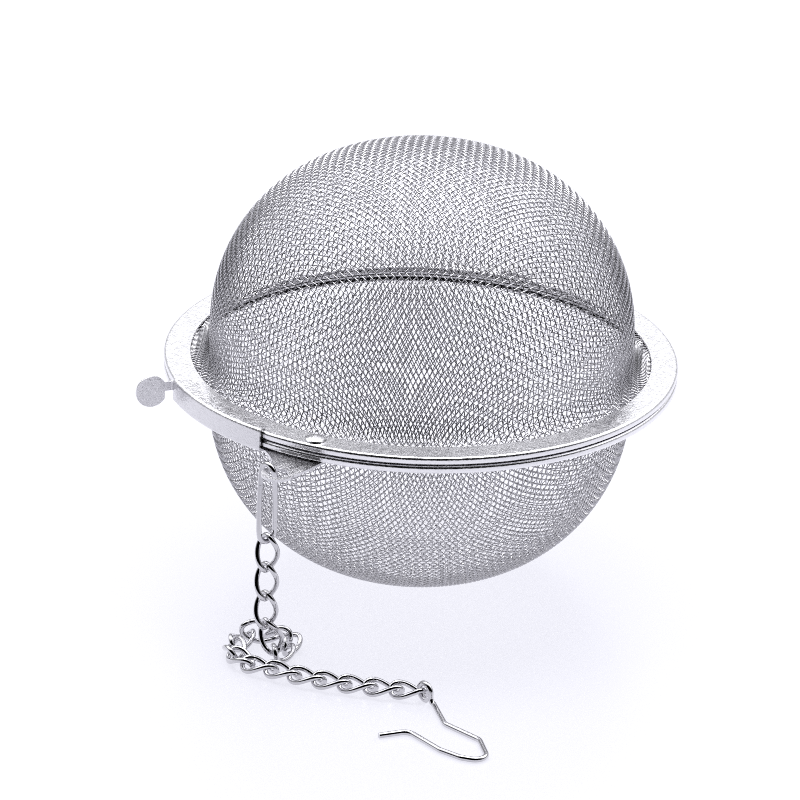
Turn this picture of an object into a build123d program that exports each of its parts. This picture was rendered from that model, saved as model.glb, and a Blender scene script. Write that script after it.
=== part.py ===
from build123d import *
import math
import os

# Mesh tea infuser: two wire-mesh half balls in folded sheet rims, hinged at +Y and held shut by
# a clasp that swings on a rivet at -Y, with a curb chain and a wire hook. The origin is the
# centre of the small flat that the ball stands on, +Z is up, and lengths are millimetres.

os.makedirs("parts", exist_ok=True)

# Rims
RIM_R = 50.0
RIM_OPENING_R = 44.8
RIM_THICK = 1.55
RIM_GAP = 0.2
RIM_EDGE_ROUND = 0.6
SHEET = 0.45
RIM_Z = 42.5

# Mesh, as a shell as thick as two crossing wires
MESH_THICK = 0.5
BRIM_R = 48.9
FLARE_R = 3.8
SHOULDER_R = 34.0
CROWN_R = 50.0
DOME_HEIGHT = 43.2
BASE_DEPTH = 42.25

# Hinge
HINGE_Y = 51.25
PIN_R = 0.5
KNUCKLE_BORE_R = 0.55
KNUCKLE_R = 1.05
LEAF_WIDTH = 6.0
LEAF_INNER_Y = 45.6
MIDDLE_KNUCKLE = 2.4
KNUCKLE_CLEARANCE = 0.1
PIN_LENGTH = LEAF_WIDTH + 0.2
PIN_HEAD_R = 0.85
PIN_HEAD = 0.45

# Clasp: a sheet channel round both rims
CLASP_SHEET = 0.5
CLASP_GAP = 0.15
CLASP_WALL_R = RIM_R + 0.25
CLASP_START = -134.5
CLASP_END = -101.9
CLASP_BEND_R = 0.6
CLASP_LIP = 1.0
CLASP_PLATE_INSET = 0.8
CLASP_BOTTOM_INNER_R = 46.3
RIVET_BOSS_R = 2.5
TAB_R = 3.1
TAB_REACH = 3.85
TAB_BEND_R = 0.3
TAB_NECK_LOW = -0.1
TAB_NECK_HIGH = 1.7
EAR_CENTRE = (-2.8, -57.5)
EAR_R = 3.1
EAR_HOLE_R = 2.05

# The clasp's shaped edges: the waisted one on top as angle and radius, and the ear's two sides
CLASP_WAIST = [(-134.3, 49.6), (-133.2, 47.6), (-131.0, 46.8), (-126.5, 47.9), (-121.0, 49.1),
               (-115.0, 49.2), (-109.0, 48.3), (-105.0, 47.6), (-102.9, 48.0), (-102.2, 49.4)]
EAR_LEFT_SIDE = [(-8.2, -50.5), (-6.6, -52.4), (-4.9, -55.2)]
EAR_RIGHT_SIDE = [(0.2, -57.0), (1.3, -53.6), (2.45, -48.6)]

# Clasp rivet and the dimple that clears its head
RIVET_Y = -47.4
RIVET_R = 0.8
RIVET_CLEARANCE = 0.05
RIVET_HEAD_R = 1.2
RIVET_HEAD = 0.6
RIVET_TAIL_R = 1.4
DIMPLE_R = 2.3
DIMPLE_Z = 0.1
DIMPLE_BRIM_HOLE_R = 2.4

# Chain
LINK_WIRE = 1.0
LINK_LENGTH = 7.15
LINK_WIDTH = 3.8
LINK_TWIST = -110
LINK_SQUARENESS = 2.3
HAIRPIN_WIDTH = 3.0
HAIRPIN_TWIST = -80
HAIRPIN_TOP = 41.55
HAIRPIN_BOTTOM = 25.8
HAIRPIN_AT = (-5.2, -56.6)
HAIRPIN_TURN = 18.8

# Links that hang under the hairpin
HANG_AT = (-5.0, -56.5)
HANG_TOP = 23.5
HANG_PITCH = 5.95
HANG_COUNT = 3
HANG_HEADING = 24

# Links that lie heaped under them: each one's centre, heading, tilt and roll
HEAP = [
    (-4.2, -55.7, 5.9, 30, -73, 99),
    (-2.8, -53.7, 2.3, 96, -12, 19),
    (-3.3, -49.5, 2.2, 101, -2, 42),
    (-6.6, -47.0, 1.8, 154, -20, 45),
    (-10.2, -48.1, 2.2, 209, 13, -53),
    (-12.5, -51.4, 1.5, 269, 3, -7),
    (-11.8, -55.7, 1.6, 295, 4, -3),
    (-8.8, -58.9, 1.5, 331, 1, -1),
    (-4.3, -60.1, 1.5, 360, 2, -3),
]

# Links that run along the table from the heap to the hook
RUN_START = (0.6, -60.2)
RUN_Z = 1.6
RUN_PITCH = 4.95
RUN_HEADINGS = (-1, 4, 9, 13, 15, 16)

# Hook of wire that lies on the table
HOOK_WIRE = 1.05
HOOK_Z = 0.55
HOOK_BEND_R = 2.2
HOOK_CORNERS = [(35.5, -63.4), (43.8, -66.2), (49.1, -73.4), (43.6, -74.2), (39.0, -73.3),
                (30.8, -69.3), (26.7, -73.4)]
EYE_R = 1.65
EYE_END = 285
EYE_START = -15
EYE_DROP_R = 1.0
EYE_AT = (28.1, -56.1)
EYE_TURN = -25.0

RIM_OUT = RIM_GAP / 2 + RIM_THICK
BRIM_MID = RIM_GAP / 2 + RIM_THICK / 2
CLASP_IN = RIM_OUT + CLASP_GAP
CLASP_OUT = CLASP_IN + CLASP_SHEET


def polar(radius, degrees):
    angle = math.radians(degrees)
    return radius * math.cos(angle), radius * math.sin(angle)


def arc_about(centre, radius, start, end):
    """An arc of a profile in the r-z plane, from one angle to another in degrees."""
    points = []
    for degrees in (start, (start + end) / 2, end):
        x, y = polar(radius, degrees)
        points.append((centre[0] + x, centre[1] + y))
    return ThreePointArc(*points)


def joined(*curves):
    """The closed r-z outline through the curves, with straight lines across the gaps."""
    edges = []
    for curve, following in zip(curves, curves[1:] + curves[:1]):
        edges.append(curve)
        if (curve @ 1 - following @ 0).length > 1e-6:
            edges.append(Line(curve @ 1, following @ 0))
    return make_face([Plane.XZ * edge for edge in edges])


def spun(face):
    return revolve(face, axis=Axis.Z)


def upright(solid, lower):
    """A piece drawn above the parting plane, moved into place or turned over below it."""
    if lower:
        solid = mirror(solid, about=Plane.XY)
    return Pos(0, 0, RIM_Z) * solid


def dome_outline(offset, flat):
    """Curves of the dome at an offset from its middle surface, from the brim to the axis."""
    wall_r = RIM_OPENING_R - FLARE_R
    flare_centre = (RIM_OPENING_R, BRIM_MID + FLARE_R)
    shoulder_x = wall_r - SHOULDER_R
    crown_z = DOME_HEIGHT - CROWN_R
    shoulder_z = crown_z + math.sqrt((CROWN_R - SHOULDER_R) ** 2 - shoulder_x**2)
    meeting = math.degrees(math.atan2(shoulder_z - crown_z, shoulder_x))
    top = 90.0
    if flat:
        depth = BASE_DEPTH + offset
        top = math.degrees(math.asin((depth - crown_z) / (CROWN_R + offset)))
    curves = [
        Line((BRIM_R, BRIM_MID + offset), (RIM_OPENING_R, BRIM_MID + offset)),
        arc_about(flare_centre, FLARE_R - offset, 270, 180),
        arc_about((shoulder_x, shoulder_z), SHOULDER_R + offset, 0, meeting),
        arc_about((0, crown_z), CROWN_R + offset, meeting, top),
    ]
    if flat:
        curves.append(Line(curves[-1] @ 1, (0, BASE_DEPTH + offset)))
    return curves


def mesh_dome(lower):
    outer = dome_outline(MESH_THICK / 2, lower)
    inner = dome_outline(-MESH_THICK / 2, lower)
    back = [Line(c @ 1, c @ 0) if i in (0, 4) else ThreePointArc(c @ 1, c @ 0.5, c @ 0)
            for i, c in reversed(list(enumerate(inner)))]
    return spun(joined(*outer, *back))


def rim():
    """A sheet folded round the mesh brim, with its fold outside."""
    low = RIM_GAP / 2
    section = Rectangle(RIM_R - RIM_OPENING_R, RIM_THICK, align=(Align.MIN, Align.MIN))
    outer_corners = section.vertices().group_by(Axis.X)[-1]
    section = fillet(outer_corners, RIM_EDGE_ROUND)
    section = Plane.XZ * Pos(RIM_OPENING_R, low) * section
    ring = spun(section)
    slot = Cylinder(BRIM_R, MESH_THICK)
    return ring - Pos(0, 0, BRIM_MID) * slot


def upper_rim():
    centre = Pos(0, RIVET_Y, DIMPLE_Z)
    dome = Sphere(DIMPLE_R) - Sphere(DIMPLE_R - SHEET)
    above = Pos(0, 0, DIMPLE_R / 2) * Box(3 * DIMPLE_R, 3 * DIMPLE_R, DIMPLE_R)
    return rim() - centre * Sphere(DIMPLE_R) + centre * (dome & above)


def lower_rim():
    return rim() - Pos(0, RIVET_Y, 0) * Cylinder(RIVET_R, 10)


def brim_hole(radius):
    return Pos(0, RIVET_Y, 0) * Cylinder(radius, 10)


def hinge_leaf(spans):
    """A strap on the rim's face, bent down the rim's edge and curled round the pin at each span."""
    wall_y = HINGE_Y - KNUCKLE_R
    thick = KNUCKLE_R - KNUCKLE_BORE_R
    strap_y = (LEAF_INNER_Y + wall_y + thick) / 2
    strap = Box(LEAF_WIDTH, wall_y + thick - LEAF_INNER_Y, thick)
    leaf = Pos(0, strap_y, RIM_OUT + thick / 2) * strap
    for middle, width in spans:
        wall = Box(width, thick, RIM_OUT + thick)
        leaf += Pos(middle, wall_y + thick / 2, (RIM_OUT + thick) / 2) * wall
        curl = Cylinder(KNUCKLE_R, width, rotation=(0, 90, 0))
        leaf += Pos(middle, HINGE_Y, 0) * curl
    bore = Cylinder(KNUCKLE_BORE_R, 2 * LEAF_WIDTH, rotation=(0, 90, 0))
    return leaf - Pos(0, HINGE_Y, 0) * bore


def outer_knuckles():
    """The middle and width of the upper leaf's two curls, one on each side of the lower leaf's."""
    width = (LEAF_WIDTH - MIDDLE_KNUCKLE) / 2 - KNUCKLE_CLEARANCE
    middle = (LEAF_WIDTH - width) / 2
    return [(-middle, width), (middle, width)]


def hinge_pin():
    pin = Cylinder(PIN_R, PIN_LENGTH, rotation=(0, 90, 0))
    for side in (-1, 1):
        head = Cylinder(PIN_HEAD_R, PIN_HEAD, rotation=(0, 90, 0))
        pin += Pos(side * (PIN_LENGTH + PIN_HEAD) / 2, 0, 0) * head
    return Pos(0, HINGE_Y, RIM_Z) * pin


def rivet():
    """A domed head on the lower rim, a shank through rim and clasp, and a tail below."""
    shank_low = -CLASP_OUT - RIVET_CLEARANCE
    top = -RIM_GAP / 2
    shank = Cylinder(RIVET_R, top - shank_low, align=(Align.CENTER, Align.CENTER, Align.MIN))
    head = Cylinder(RIVET_HEAD_R, RIVET_HEAD, align=(Align.CENTER, Align.CENTER, Align.MIN))
    head = fillet(head.edges().sort_by(Axis.Z)[-1], RIVET_HEAD / 2)
    tail = Cylinder(RIVET_TAIL_R, RIVET_HEAD, align=(Align.CENTER, Align.CENTER, Align.MAX))
    tail = fillet(tail.edges().sort_by(Axis.Z)[0], RIVET_HEAD / 2)
    body = Pos(0, 0, shank_low) * shank + Pos(0, 0, top) * head + Pos(0, 0, shank_low) * tail
    return Pos(0, RIVET_Y, RIM_Z) * body


def clasp_channel():
    """The wall outside both rims, with the bends above and below it."""
    wall_out = CLASP_WALL_R + CLASP_SHEET
    lip_r = wall_out - CLASP_LIP
    section = Polyline(
        (lip_r, CLASP_IN), (CLASP_WALL_R, CLASP_IN), (CLASP_WALL_R, -CLASP_IN), (lip_r, -CLASP_IN),
        (lip_r, -CLASP_OUT), (wall_out, -CLASP_OUT), (wall_out, CLASP_OUT), (lip_r, CLASP_OUT),
        close=True,
    )
    face = make_face(section)
    face = fillet(face.vertices().group_by(Axis.X)[-1], CLASP_BEND_R)
    face = Plane.XZ * face
    channel = revolve(face, axis=Axis.Z, revolution_arc=CLASP_END - CLASP_START)
    return Rot(0, 0, CLASP_START) * channel


def clasp_top():
    """The waisted plate that lies over the upper rim."""
    edge_r = CLASP_WALL_R + CLASP_SHEET - CLASP_PLATE_INSET
    waist = Spline([polar(r, a) for a, r in CLASP_WAIST])
    first, last = CLASP_WAIST[-1][0], CLASP_WAIST[0][0]
    outer = ThreePointArc(*[polar(edge_r, a) for a in (first, (first + last) / 2, last)])
    ends = [Line(waist @ 1, outer @ 0), Line(outer @ 1, waist @ 0)]
    face = make_face([waist, outer] + ends)
    return Pos(0, 0, CLASP_IN) * extrude(face, CLASP_SHEET)


def clasp_bottom():
    """The plate under the lower rim, from the channel to the rivet, with the ear for the chain."""
    edge_r = CLASP_WALL_R + CLASP_SHEET - CLASP_PLATE_INSET
    outer = ThreePointArc(polar(edge_r, -134.0), polar(edge_r, -118), polar(edge_r, CLASP_END))
    inner = ThreePointArc(*[polar(CLASP_BOTTOM_INNER_R, a) for a in (-93.0, -113.0, -133.0)])
    neck = Spline([outer @ 1] + EAR_LEFT_SIDE)
    right = Spline(EAR_RIGHT_SIDE)
    face = make_face([
        outer, neck, Line(neck @ 1, right @ 0), right,
        Line(right @ 1, inner @ 0), inner, Line(inner @ 1, outer @ 0),
    ])
    boss = Pos(0, RIVET_Y) * Circle(RIVET_BOSS_R)
    ear = Pos(*EAR_CENTRE) * Circle(EAR_R)
    holes = Pos(*EAR_CENTRE) * Circle(EAR_HOLE_R) + Pos(0, RIVET_Y) * Circle(RIVET_R + RIVET_CLEARANCE)
    plate = extrude(face + boss + ear - holes, CLASP_SHEET)
    return Pos(0, 0, -CLASP_OUT) * plate


def thumb_tab():
    """A round tab turned outward at the clasp's free end, on a narrow neck."""
    bend_out = TAB_BEND_R + CLASP_SHEET
    x, y = polar(CLASP_WALL_R + CLASP_SHEET + TAB_BEND_R, CLASP_START)
    frame = Pos(x, y, 0) * Rot(0, 0, CLASP_START)
    neck_mid = (TAB_NECK_LOW + TAB_NECK_HIGH) / 2
    neck_width = TAB_NECK_HIGH - TAB_NECK_LOW
    turn = Cylinder(bend_out, neck_width) - Cylinder(TAB_BEND_R, neck_width)
    corner = Pos(-bend_out / 2, -bend_out / 2, 0) * Box(bend_out, bend_out, 4 * TAB_R)
    turn = Pos(0, 0, neck_mid) * (turn & corner)
    disc = Circle(TAB_R) & Pos(0.5, 0) * Rectangle(2 * TAB_R, 4 * TAB_R)
    neck = Pos(-TAB_REACH / 2, neck_mid) * Rectangle(TAB_REACH, neck_width)
    flat = Plane.XZ * Pos(TAB_REACH, 0) * (disc + neck)
    flat = Pos(0, -TAB_BEND_R, 0) * extrude(flat, CLASP_SHEET)
    return frame * (turn + flat)


def clasp():
    return Pos(0, 0, RIM_Z) * (clasp_channel() + clasp_top() + clasp_bottom() + thumb_tab())


def turned(x, y, degrees):
    angle = math.radians(degrees)
    return Vector(x, y * math.cos(angle), y * math.sin(angle))


def side_of_link(side):
    """One long side of a link: half of a rounded loop, twisted along its length."""
    steps = 8
    power = 2 / LINK_SQUARENESS
    points = []
    for i in range(steps + 1):
        angle = math.pi * i / steps
        x = math.copysign(abs(math.cos(angle)) ** power, math.cos(angle)) / 2
        y = side * LINK_WIDTH / 2 * abs(math.sin(angle)) ** power
        points.append(turned(x * LINK_LENGTH, y, x * LINK_TWIST))
    start = turned(0, side, LINK_TWIST / 2)
    end = turned(0, -side, -LINK_TWIST / 2)
    return Spline(points, tangents=[start, end], tangent_scalars=[1, 1])


def side_of_hairpin(side):
    """One long side of the hairpin: straight, with a quarter circle at each end."""
    length = HAIRPIN_TOP - HAIRPIN_BOTTOM
    radius = HAIRPIN_WIDTH / 2
    straight = length / 2 - radius
    outline = []
    for degrees in (0, 22.5, 45, 67.5):
        x, y = polar(radius, degrees)
        outline.append((straight + x, y))
    for x in (straight, straight / 2, 0):
        outline.append((x, radius))
    mirrored = [(-x, y) for x, y in reversed(outline[:-1])]
    points = []
    for x, y in outline + mirrored:
        points.append(turned(x, side * y, x / length * HAIRPIN_TWIST))
    start = turned(0, side, HAIRPIN_TWIST / 2)
    end = turned(0, -side, -HAIRPIN_TWIST / 2)
    return Spline(points, tangents=[start, end], tangent_scalars=[1, 1])


def wire_along(path, diameter):
    return sweep(Plane(origin=path @ 0, z_dir=path % 0) * Circle(diameter / 2), path=path)


def hairpin():
    loop = wire_along(side_of_hairpin(1), LINK_WIRE) + wire_along(side_of_hairpin(-1), LINK_WIRE)
    middle = (HAIRPIN_TOP + HAIRPIN_BOTTOM) / 2
    across, out = polar(1, HAIRPIN_TURN)
    return Plane(origin=(*HAIRPIN_AT, middle), x_dir=(0, 0, -1), z_dir=(out, -across, 0)) * loop


def placed_link(link, x, y, z, heading, tilt, roll):
    """A link with its length along the heading and tilt, turned about its length by the roll."""
    return Pos(x, y, z) * Rot(0, 0, heading) * Rot(0, -tilt, 0) * Rot(roll, 0, 0) * link


def link_places():
    """Where every link lies, from the hairpin to the hook: centre, heading, tilt and roll."""
    places = []
    for i in range(HANG_COUNT):
        places.append((*HANG_AT, HANG_TOP - i * HANG_PITCH, HANG_HEADING, -90, 90))
    places += HEAP
    x, y = RUN_START
    before = None
    for heading in RUN_HEADINGS:
        if before is not None:
            for half_way in (before, heading):
                step_x, step_y = polar(RUN_PITCH / 2, half_way)
                x += step_x
                y += step_y
        places.append((x, y, RUN_Z, heading, 0, 0))
        before = heading
    return places


def end_hook():
    """An eye round the last link, dropping to a leg, a flat U and a flared end, from one wire."""
    across = Vector(*polar(1, EYE_TURN), 0)
    up = Vector(0, 0, 1)
    centre = Vector(*EYE_AT, HOOK_Z + EYE_R)
    points = []
    for degrees in range(EYE_END, EYE_START - 1, -30):
        along, height = polar(EYE_R, degrees)
        points.append(centre + across * along + up * height)
    sharp = EYE_DROP_R * math.cos(math.radians(45))
    foot = centre + across * (EYE_R + EYE_DROP_R + 0.05) - up * EYE_R
    points.append(foot + up * (EYE_DROP_R - sharp) - across * sharp)
    points.append(foot)
    corners = [(foot.X, foot.Y)] + HOOK_CORNERS
    leg = Vector(*corners[1]) - Vector(*corners[0])
    first, second = polar(1, EYE_END - 90)
    start = across * first + up * second
    eye = Spline(points, tangents=[start, leg.normalized()], tangent_scalars=[1, 1])
    flat = Pos(0, 0, HOOK_Z) * FilletPolyline(*corners, radius=HOOK_BEND_R)
    return wire_along(eye, HOOK_WIRE) + wire_along(flat, HOOK_WIRE)


export_step(upright(mesh_dome(True) - brim_hole(RIVET_R), True), "parts/lower_mesh.step")
export_step(upright(lower_rim(), True), "parts/lower_ring.step")
export_step(upright(mesh_dome(False) - brim_hole(DIMPLE_BRIM_HOLE_R), False), "parts/upper_mesh.step")
export_step(upright(upper_rim(), False), "parts/upper_ring.step")
export_step(clasp(), "parts/clasp.step")
export_step(rivet(), "parts/clasp_rivet.step")
export_step(upright(hinge_leaf([(0, MIDDLE_KNUCKLE)]), True), "parts/hinge_lower_leaf.step")
export_step(upright(hinge_leaf(outer_knuckles()), False), "parts/hinge_upper_leaf.step")
export_step(hinge_pin(), "parts/hinge_pin.step")

link = wire_along(side_of_link(1), LINK_WIRE) + wire_along(side_of_link(-1), LINK_WIRE)
for index, placing in enumerate(link_places()):
    export_step(placed_link(link, *placing), f"parts/chain_link_{index + 1:02d}.step")
export_step(hairpin(), "parts/hairpin_link.step")
export_step(end_hook(), "parts/end_hook.step")
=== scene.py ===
import math

import bpy
import numpy as np
from mathutils import Matrix, Vector

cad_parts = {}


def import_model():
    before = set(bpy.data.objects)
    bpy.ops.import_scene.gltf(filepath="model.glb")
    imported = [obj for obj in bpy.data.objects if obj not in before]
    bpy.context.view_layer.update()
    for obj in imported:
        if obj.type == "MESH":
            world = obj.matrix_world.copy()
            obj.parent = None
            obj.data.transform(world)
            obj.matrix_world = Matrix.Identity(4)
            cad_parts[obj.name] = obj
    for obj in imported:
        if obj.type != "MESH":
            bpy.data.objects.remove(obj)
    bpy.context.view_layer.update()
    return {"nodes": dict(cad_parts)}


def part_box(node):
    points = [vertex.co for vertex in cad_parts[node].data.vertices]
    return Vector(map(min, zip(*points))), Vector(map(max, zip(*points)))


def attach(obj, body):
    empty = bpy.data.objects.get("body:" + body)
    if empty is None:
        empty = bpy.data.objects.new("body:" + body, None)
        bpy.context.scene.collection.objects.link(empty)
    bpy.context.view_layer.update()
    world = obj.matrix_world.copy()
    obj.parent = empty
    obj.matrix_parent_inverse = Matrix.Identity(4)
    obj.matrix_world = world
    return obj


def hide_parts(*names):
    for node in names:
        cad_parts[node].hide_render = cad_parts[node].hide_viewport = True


# Mesh tea infuser on a pale table. Metres, +Z up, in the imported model's own frame: the ball stands
# on the origin, its hinge is at +Y, and the chain hangs on the -Y side.

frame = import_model()

# Camera
CAMERA_TURN = math.radians(23.8)
CAMERA_RISE = math.radians(23.014)
CAMERA_DISTANCE = 0.9732
CAMERA_ROLL = math.radians(-2.1)
CAMERA_AIM_DOWN = 0.008
CAMERA_AIM_SIDE = -0.00388
CAMERA_LENS = 225

# Rims and domes, as in the CAD model
RIM_OPENING_R = 0.0448
RIM_R = 0.050
RIM_THICK = 0.00155
RIM_GAP = 0.0002
RIM_ROUND = 0.0006
RIM_INNER_ROUND = 0.00012
FOLD_SHEET = 0.0004
FOLD_END_R = 0.0492
FOLD_EDGE = 0.00003
FLARE_R = 0.0038
SHOULDER_R = 0.034
CROWN_R = 0.050
DOME_HEIGHT = 0.0432
BASE_DEPTH = 0.04225
BRIM_MID = 0.000875
MESH_END_R = 0.0456
BRIM_LENGTH = 0.004

# Dimple over the rivet's head
DIMPLE_RISE = 0.0008
DIMPLE_R = 0.0021
DIMPLE_STEPS = 14
DIMPLE_SIDES = 40
DIMPLE_LIFT = 0.00001

# Woven wire
PITCH = 0.00115
WIRE_R = 0.00011
WIRE_SIDES = 6
UPPER_WEAVE_TURN = CAMERA_TURN + math.radians(42.5)
LOWER_WEAVE_TURN = CAMERA_TURN + math.radians(48)

# Studio
WALL_GLOW = 0.47
CEILING_GLOW = 2.6
CEILING_EDGE = (0.35, 0.7)
OPENING_GLOW = 0
OPENING_RISE = math.radians(5)
OPENING_EDGE = (-0.3, 0.45)
# Painted light on the table: it glows though it is no lamp. The glow is stronger near a place behind
# the ball and weaker far off, which fills in shadows and paints a brighter pool on the floor.
TABLE_PAINTED_GLOW = 0.68
TABLE_PAINTED_GLOW_FAR = 0.55
PAINTED_GLOW_CENTRE = 0.35
PAINTED_GLOW_SIZE = (0.2, 0.65, 1)
PAINTED_GLOW_EDGE = (0.75, 1.25)
TABLE_REACH = 4

RIM_Z = (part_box("lower_ring")[1].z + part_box("upper_ring")[0].z) / 2


# ---------------------------------------------------------------- camera

def make_camera():
    """A long lens, as high and as far round as the object is seen from, tilted a little."""
    away = Vector((0, -math.cos(CAMERA_RISE), math.sin(CAMERA_RISE)))
    side = Vector((1, 0, 0))
    axes = Matrix((side, away.cross(side), away))
    aim = Matrix.Rotation(CAMERA_AIM_DOWN, 3, "X") @ Matrix.Rotation(CAMERA_AIM_SIDE, 3, "Y")
    turned = Matrix.Rotation(CAMERA_ROLL, 3, "Z") @ aim @ axes
    local = Matrix.Translation(away * CAMERA_DISTANCE) @ turned.transposed().to_4x4()
    placed = Matrix.Translation((0, 0, RIM_Z)) @ Matrix.Rotation(CAMERA_TURN, 4, "Z") @ local
    data = bpy.data.cameras.new("camera")
    data.lens = CAMERA_LENS
    data.sensor_width = 36
    camera = bpy.data.objects.new("camera", data)
    camera.matrix_world = placed
    bpy.context.scene.collection.objects.link(camera)
    bpy.context.scene.camera = camera


make_camera()


# ---------------------------------------------------------------- materials

def new_material(name):
    material = bpy.data.materials.new(name)
    material.use_nodes = True
    return material, material.node_tree.nodes, material.node_tree.links


def noise(nodes, links, scale, detail):
    """Noise in the object's own space, finer where scale is larger."""
    where = nodes.new("ShaderNodeTexCoord")
    texture = nodes.new("ShaderNodeTexNoise")
    texture.inputs["Scale"].default_value = scale
    texture.inputs["Detail"].default_value = detail
    links.new(where.outputs["Object"], texture.inputs["Vector"])
    return texture.outputs["Fac"]


def ranged(nodes, links, value, low, high, start=0.3, end=0.7):
    """Low where the value is at start, high where it is at end, and in between in step with it."""
    spread = nodes.new("ShaderNodeMapRange")
    spread.inputs["From Min"].default_value = start
    spread.inputs["From Max"].default_value = end
    spread.inputs["To Min"].default_value = low
    spread.inputs["To Max"].default_value = high
    links.new(value, spread.inputs["Value"])
    return spread.outputs["Result"]


def steel(name, colour, roughness, bump=0, bump_grain=0):
    """Stainless steel whose polish varies a little, with fine pits or grain where bump is given."""
    material, nodes, links = new_material(name)
    shader = nodes["Principled BSDF"]
    shader.inputs["Base Color"].default_value = (*colour, 1)
    shader.inputs["Metallic"].default_value = 1
    cloudy = noise(nodes, links, POLISH_GRAIN, 3)
    links.new(ranged(nodes, links, cloudy, *roughness), shader.inputs["Roughness"])
    if bump:
        fine = noise(nodes, links, bump_grain, 4)
        node = nodes.new("ShaderNodeBump")
        node.inputs["Strength"].default_value = bump
        node.inputs["Distance"].default_value = BUMP_HEIGHT
        links.new(fine, node.inputs["Height"])
        links.new(node.outputs["Normal"], shader.inputs["Normal"])
    return material


def wire_steel():
    """Bright drawn wire. The weave itself is geometry, so the wire has plain values."""
    material, nodes, _ = new_material("mesh_wire")
    shader = nodes["Principled BSDF"]
    shader.inputs["Base Color"].default_value = (0.54, 0.535, 0.55, 1)
    shader.inputs["Metallic"].default_value = 1
    shader.inputs["Roughness"].default_value = 0.15
    return material


POLISH_GRAIN = 900
BUMP_HEIGHT = 0.0001
RIM_STEEL = steel("rim_steel", (0.88, 0.875, 0.89), (0.18, 0.32), 0.5, 2600)
FITTING_STEEL = steel("fitting_steel", (0.74, 0.735, 0.75), (0.14, 0.32), 1, 2600)
CHAIN_STEEL = steel("chain_steel", (0.64, 0.635, 0.65), (0.05, 0.14))
WIRE_STEEL = wire_steel()


# ---------------------------------------------------------------- woven domes

def arc(centre, radius, start, end, count):
    """Points and outward normals of an arc in the r-z plane."""
    angles = np.radians(np.linspace(start, end, count))
    normals = np.stack([np.cos(angles), np.sin(angles)], 1)
    return np.array(centre) + radius * normals, normals


def dome_profile(flat):
    """The dome's middle surface from the axis to the brim: distances along it, points, normals."""
    wall_r = RIM_OPENING_R - FLARE_R
    shoulder_x = wall_r - SHOULDER_R
    crown_z = DOME_HEIGHT - CROWN_R
    shoulder_z = crown_z + math.sqrt((CROWN_R - SHOULDER_R) ** 2 - shoulder_x**2)
    meeting = math.degrees(math.atan2(shoulder_z - crown_z, shoulder_x))
    top = 90
    pieces = []
    if flat:
        top = math.degrees(math.asin((BASE_DEPTH - crown_z) / CROWN_R))
        foot = np.linspace(0, CROWN_R * math.cos(math.radians(top)), 60)[:-1]
        points = np.stack([foot, np.full_like(foot, BASE_DEPTH)], 1)
        pieces.append((points, np.tile((0.0, 1.0), (len(foot), 1))))
    pieces.append(arc((0, crown_z), CROWN_R, top, meeting, 300))
    pieces.append(arc((shoulder_x, shoulder_z), SHOULDER_R, meeting, 0, 300))
    points, normals = arc((RIM_OPENING_R, BRIM_MID + FLARE_R), FLARE_R, 180, 270, 80)
    pieces.append((points, -normals))
    brim = np.linspace(RIM_OPENING_R, RIM_OPENING_R + BRIM_LENGTH, 30)[1:]
    points = np.stack([brim, np.full_like(brim, BRIM_MID)], 1)
    pieces.append((points, np.tile((0.0, 1.0), (len(brim), 1))))
    points = np.concatenate([p for p, n in pieces])
    normals = np.concatenate([n for p, n in pieces])
    steps = np.linalg.norm(np.diff(points, axis=0), axis=1)
    keep = np.concatenate([[True], steps > 1e-9])
    points, normals = points[keep], normals[keep]
    along = np.concatenate([[0], np.cumsum(np.linalg.norm(np.diff(points, axis=0), axis=1))])
    return along, points, normals


class Surface:
    """A dome as a surface of distance from the pole and angle round the axis."""

    def __init__(self, flat):
        self.along, self.points, self.normals = dome_profile(flat)
        self.end = float(np.interp(MESH_END_R, self.points[-110:, 0], self.along[-110:]))

    def at(self, s):
        r = np.interp(s, self.along, self.points[:, 0])
        z = np.interp(s, self.along, self.points[:, 1])
        nr = np.interp(s, self.along, self.normals[:, 0])
        nz = np.interp(s, self.along, self.normals[:, 1])
        return r, z, nr, nz

    def point(self, s, turn):
        r, z, _, _ = self.at(s)
        return np.array([r * math.cos(turn), r * math.sin(turn), z])

    def crossing(self, a, b, s, turn):
        """The place one pitch from both a and b, found from a first guess by Newton's method."""
        for _ in range(12):
            r, z, nr, nz = self.at(s)
            across = np.array([math.cos(turn), math.sin(turn), 0])
            place = r * across + np.array([0, 0, z])
            down = nz * across - np.array([0, 0, nr])
            round_ = r * np.array([-math.sin(turn), math.cos(turn), 0])
            misses = np.array([(place - q) @ (place - q) - PITCH**2 for q in (a, b)])
            slopes = np.array([[2 * (place - q) @ down, 2 * (place - q) @ round_] for q in (a, b)])
            step = np.linalg.solve(slopes, misses)
            s, turn = s - step[0], turn - step[1]
            if np.abs(misses).max() < 1e-12:
                break
        return s, turn


def cloth_net(surface):
    """Crossings of a cloth draped on the dome, with every thread one pitch from the next along it.

    Threads run straight down from the pole at angles 0 and 90 degrees. One quarter is worked out,
    and the others mirror it. Gives {(i, j): (distance, angle)} for i and j from 0 up."""
    net = {(0, 0): (0.0, 0.0)}
    count = int(surface.end / PITCH) + 2
    for i in range(1, count):
        net[i, 0] = (i * PITCH, 0.0)
        net[0, i] = (i * PITCH, math.pi / 2)
    for i in range(1, count):
        for j in range(1, count):
            before, beside, corner = (net.get(k) for k in ((i - 1, j), (i, j - 1), (i - 1, j - 1)))
            if None in (before, beside, corner) or max(before[0], beside[0]) > surface.end:
                continue
            a, b, c = (surface.point(*place) for place in (before, beside, corner))
            guess = a + b - c
            s = before[0] + beside[0] - corner[0]
            net[i, j] = surface.crossing(a, b, s, math.atan2(guess[1], guess[0]))
    return net


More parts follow.
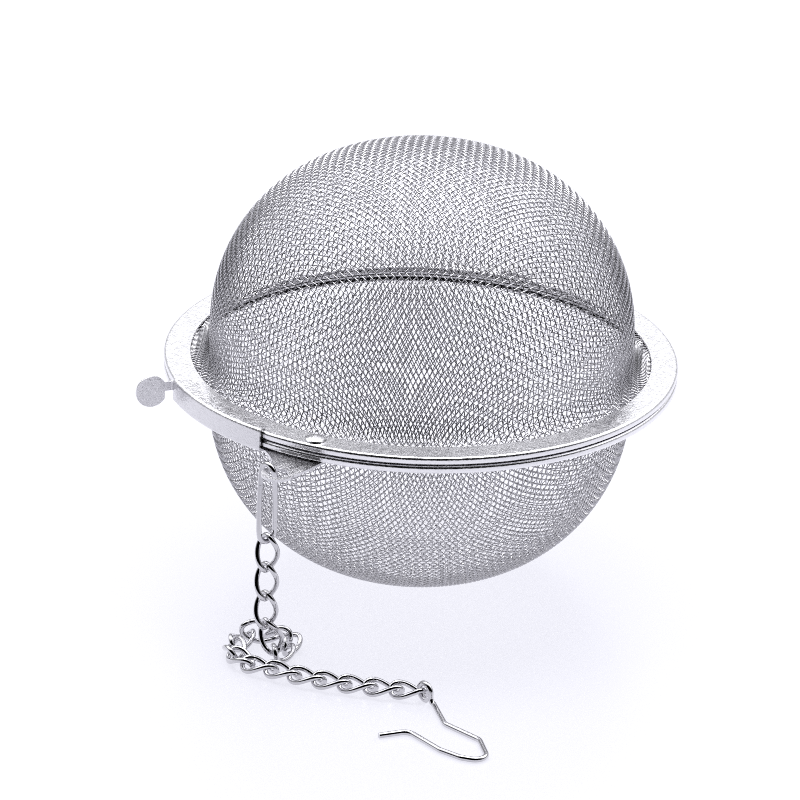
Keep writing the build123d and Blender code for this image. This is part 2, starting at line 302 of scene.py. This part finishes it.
def thread_line(surface, net, i, lengthwise):
    """Points and normals of one thread, waved over and under the threads it crosses."""
    places = []
    for j in range(-99, 100):
        key = (abs(i), abs(j)) if lengthwise else (abs(j), abs(i))
        if key not in net:
            continue
        s, turn = net[key]
        x, y = (i, j) if lengthwise else (j, i)
        r, z, nr, nz = surface.at(s)
        cos, sin = math.cos(turn), math.sin(turn)
        mirror = np.array([-1 if x < 0 else 1, -1 if y < 0 else 1, 1])
        point = np.array([r * cos, r * sin, z]) * mirror
        normal = np.array([nr * cos, nr * sin, nz]) * mirror
        over = 1 if (i + j + lengthwise) % 2 else -1
        places.append((point, normal, over))
    points, normals = [], []
    for k, (point, normal, over) in enumerate(places):
        lift = normal * over * WIRE_R
        for other in (k - 1, k + 1):
            near = places[min(max(other, 0), len(places) - 1)][0]
            points.append(point + (near - point) * 0.25 + lift)
            normals.append(normal)
    return np.array(points), np.array(normals)


def tube(points, normals, radius, sides):
    """Vertices and faces of a round wire along the points."""
    along = np.gradient(points, axis=0)
    along /= np.linalg.norm(along, axis=1)[:, None]
    out = normals - (normals * along).sum(1)[:, None] * along
    out /= np.linalg.norm(out, axis=1)[:, None]
    across = np.cross(along, out)
    angles = np.arange(sides) * 2 * math.pi / sides
    cos, sin = np.cos(angles)[None, :, None], np.sin(angles)[None, :, None]
    ring = cos * out[:, None] + sin * across[:, None]
    vertices = (points[:, None] + radius * ring).reshape(-1, 3)
    first = np.arange(len(points) - 1)[:, None] * sides + np.arange(sides)
    second = np.arange(len(points) - 1)[:, None] * sides + (np.arange(sides) + 1) % sides
    faces = np.stack([first, second, second + sides, first + sides], -1).reshape(-1, 4).tolist()
    faces.append(list(range(sides))[::-1])
    faces.append([(len(points) - 1) * sides + k for k in range(sides)])
    return vertices, faces


def mesh_object(name, vertices, faces, material, smooth=True):
    mesh = bpy.data.meshes.new(name)
    mesh.from_pydata(np.asarray(vertices).tolist(), [], faces)
    mesh.polygons.foreach_set("use_smooth", [smooth] * len(mesh.polygons))
    mesh.materials.append(material)
    obj = bpy.data.objects.new(name, mesh)
    bpy.context.scene.collection.objects.link(obj)
    return obj


def woven_dome(node, body, lower, weave_turn):
    """All the wires of one dome, in four pieces: each direction's wires on each side."""
    surface = Surface(lower)
    net = cloth_net(surface)
    reach = max(i for i, j in net)
    turn = np.array(Matrix.Rotation(weave_turn, 3, "Z"))
    flip = np.array([1, 1, -1 if lower else 1])
    for lengthwise, direction in ((True, "warp"), (False, "weft")):
        for half, span in (("a", range(-reach, 0)), ("b", range(0, reach + 1))):
            vertices, faces, count = [], [], 0
            for i in span:
                points, normals = thread_line(surface, net, i, lengthwise)
                if len(points) < 4:
                    continue
                points, normals = points @ turn.T * flip, normals @ turn.T * flip
                some, their = tube(points, normals, WIRE_R, WIRE_SIDES)
                vertices.append(some)
                faces += [[k + count for k in face] for face in their]
                count += len(some)
            vertices = np.concatenate(vertices) + (0, 0, RIM_Z)
            obj = mesh_object(f"{node}_{direction}_{half}", vertices, faces, WIRE_STEEL)
            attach(obj, body)
            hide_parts(node)


woven_dome("upper_mesh", "lid", False, UPPER_WEAVE_TURN)
woven_dome("lower_mesh", "lower_half", True, LOWER_WEAVE_TURN)


# ---------------------------------------------------------------- folded rims

def folded_section():
    """The outline of a rim above the parting plane, with its normals: a sheet folded at the outside,
    with the slot between its two layers open towards the inside for the mesh's brim."""
    low, high = RIM_GAP / 2, RIM_GAP / 2 + RIM_THICK
    corner = RIM_INNER_ROUND
    round_ = RIM_ROUND
    pieces = []
    for centre, radius, start, end in (
        ((RIM_OPENING_R + corner, high - corner), corner, 180, 90),
        ((RIM_R - round_, high - round_), round_, 90, 0),
        ((RIM_R - round_, low + round_), round_, 0, -90),
        ((RIM_OPENING_R + corner, low + corner), corner, -90, -180),
    ):
        pieces.append(arc(centre, radius, start, end, 4 if radius == corner else 12))
    floor, roof, edge = low + FOLD_SHEET, high - FOLD_SHEET, FOLD_EDGE
    slot = (
        ((RIM_OPENING_R, floor - edge), (-1, 0)),
        ((RIM_OPENING_R + edge, floor), (0, 1)),
        ((FOLD_END_R - edge, floor), (0, 1)),
        ((FOLD_END_R, floor + edge), (-1, 0)),
        ((FOLD_END_R, roof - edge), (-1, 0)),
        ((FOLD_END_R - edge, roof), (0, -1)),
        ((RIM_OPENING_R + edge, roof), (0, -1)),
        ((RIM_OPENING_R, roof + edge), (-1, 0)),
    )
    pieces.append((np.array([p for p, n in slot]), np.array([n for p, n in slot])))
    points = np.concatenate([p for p, n in pieces])
    normals = np.concatenate([n for p, n in pieces])
    return points, normals


def lathed(name, points, normals, lower, material, sides=360):
    """A closed r-z outline spun round the ball's axis, shaded with its own normals."""
    angles = np.arange(sides) * 2 * math.pi / sides
    count = len(points)
    flip = -1 if lower else 1
    spun, facing = [], []
    for angle in angles:
        out = np.array([math.cos(angle), math.sin(angle)])
        for (r, z), (nr, nz) in zip(points, normals):
            spun.append((*(out * r), RIM_Z + flip * z))
            facing.append((*(out * nr), flip * nz))
    faces = []
    for i in range(sides):
        after = (i + 1) % sides
        for k in range(count):
            beside = (k + 1) % count
            corners = ((i, k), (after, k), (after, beside), (i, beside))
            face = [turn * count + point for turn, point in corners]
            faces.append(face if lower else face[::-1])
    obj = mesh_object(name, spun, faces, material)
    obj.data.normals_split_custom_set_from_vertices(facing)
    return obj


def rivet_dimple():
    """The domed bump in the upper rim over the rivet's head."""
    vertices, faces = [(0, 0, DIMPLE_RISE)], []
    for i in range(1, DIMPLE_STEPS + 1):
        share = i / DIMPLE_STEPS
        z = DIMPLE_RISE * math.sqrt(1 - share**2)
        for k in range(DIMPLE_SIDES):
            angle = 2 * math.pi * k / DIMPLE_SIDES
            r = DIMPLE_R * share
            vertices.append((r * math.cos(angle), r * math.sin(angle), z))
    for k in range(DIMPLE_SIDES):
        after = (k + 1) % DIMPLE_SIDES
        faces.append([0, 1 + k, 1 + after])
        for i in range(DIMPLE_STEPS - 1):
            a, b = 1 + i * DIMPLE_SIDES, 1 + (i + 1) * DIMPLE_SIDES
            faces.append([a + k, b + k, b + after, a + after])
    low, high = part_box("clasp_rivet")
    rim_top = RIM_Z + RIM_GAP / 2 + RIM_THICK
    place = np.array([(low.x + high.x) / 2, (low.y + high.y) / 2, rim_top + DIMPLE_LIFT])
    return mesh_object("rivet_dimple", np.array(vertices) + place, faces, RIM_STEEL)


for prefix, body, lower in (("upper", "lid", False), ("lower", "lower_half", True)):
    points, normals = folded_section()
    rim = lathed(f"{prefix}_rim", points, normals, lower, RIM_STEEL)
    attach(rim, body)
    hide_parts(f"{prefix}_ring")

dimple = rivet_dimple()
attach(dimple, "lid")
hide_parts("upper_ring")


# ---------------------------------------------------------------- carried-over parts

for name, node in frame["nodes"].items():
    if name.startswith(("chain_link", "hairpin", "end_hook")):
        material = CHAIN_STEEL
    elif "ring" in name:
        material = RIM_STEEL
    else:
        material = FITTING_STEEL
    for slot in node.material_slots:
        slot.material = material


# ---------------------------------------------------------------- table and light

def table():
    """A pale table top painted with light: it glows though it is no lamp. The glow is brightest
    round a place behind the ball and dimmer further out, and it fills in the shadows so that they
    are faint.
    """
    reach = TABLE_REACH
    corners = [(-reach, -reach, 0), (reach, -reach, 0), (reach, reach, 0), (-reach, reach, 0)]
    material, nodes, links = new_material("table")
    shader = nodes["Principled BSDF"]
    # The table's own colour is kept dark so that shadows hardly show. Its brightness and faint
    # lavender tint are a painted glow.
    shader.inputs["Base Color"].default_value = (0.11, 0.11, 0.115, 1)
    shader.inputs["Roughness"].default_value = 0.35
    shader.inputs["Emission Color"].default_value = (0.92, 0.92, 1, 1)
    where = nodes.new("ShaderNodeTexCoord")
    mapping = nodes.new("ShaderNodeMapping")
    mapping.vector_type = "TEXTURE"
    mapping.inputs["Location"].default_value = around(180, PAINTED_GLOW_CENTRE, 0)
    mapping.inputs["Rotation"].default_value = (0, 0, CAMERA_TURN)
    mapping.inputs["Scale"].default_value = PAINTED_GLOW_SIZE
    length = nodes.new("ShaderNodeVectorMath")
    length.operation = "LENGTH"
    links.new(where.outputs["Object"], mapping.inputs["Vector"])
    links.new(mapping.outputs["Vector"], length.inputs[0])
    distance = length.outputs["Value"]
    # Painted glow: strongest inside the ellipse round the place behind the ball, weaker further off.
    painted_glow = ranged(nodes, links, distance, TABLE_PAINTED_GLOW, TABLE_PAINTED_GLOW_FAR, *PAINTED_GLOW_EDGE)
    links.new(painted_glow, shader.inputs["Emission Strength"])
    obj = mesh_object("table", corners, [(0, 1, 2, 3)], material, smooth=False)


def area_light(name, position, target, size, power):
    data = bpy.data.lights.new(name, "AREA")
    data.shape = "RECTANGLE"
    data.size, data.size_y = size
    data.energy = power
    light = bpy.data.objects.new(name, data)
    light.location = position
    toward = Vector(target) - Vector(position)
    light.rotation_euler = toward.to_track_quat("-Z", "Y").to_euler()
    bpy.context.scene.collection.objects.link(light)


def around(degrees, distance, height):
    """A place at an angle from the camera's side, positive to its right."""
    angle = CAMERA_TURN + math.radians(degrees - 90)
    return distance * math.cos(angle), distance * math.sin(angle), height


def world():
    """A bright tent all round and overhead, with a dark opening where the camera looks in."""
    data = bpy.data.worlds.new("studio")
    bpy.context.scene.world = data
    data.use_nodes = True
    nodes, links = data.node_tree.nodes, data.node_tree.links
    background = nodes["Background"]
    background.inputs["Color"].default_value = (0.96, 0.965, 1, 1)
    where = nodes.new("ShaderNodeTexCoord")
    toward = nodes.new("ShaderNodeVectorMath")
    toward.operation = "DOT_PRODUCT"
    toward.inputs[1].default_value = around(0, math.cos(OPENING_RISE), math.sin(OPENING_RISE))
    links.new(where.outputs["Generated"], toward.inputs[0])
    height = nodes.new("ShaderNodeSeparateXYZ")
    links.new(where.outputs["Generated"], height.inputs["Vector"])
    tent = ranged(nodes, links, height.outputs["Z"], WALL_GLOW, CEILING_GLOW, *CEILING_EDGE)
    opening = ranged(nodes, links, toward.outputs["Value"], 1, OPENING_GLOW, *OPENING_EDGE)
    strength = nodes.new("ShaderNodeMath")
    strength.operation = "MULTIPLY"
    links.new(tent, strength.inputs[0])
    links.new(opening, strength.inputs[1])
    links.new(strength.outputs["Value"], background.inputs["Strength"])


table()
world()
area_light("top_softbox", around(165, 0.3, 1.3), (0, 0, 0), (0.9, 0.6), power=10)
bpy.context.scene.view_settings.view_transform = "Standard"
bpy.context.scene.view_settings.look = "Medium High Contrast"
bpy.context.scene.cycles.use_denoising = False
bpy.context.scene.cycles.filter_width = 1
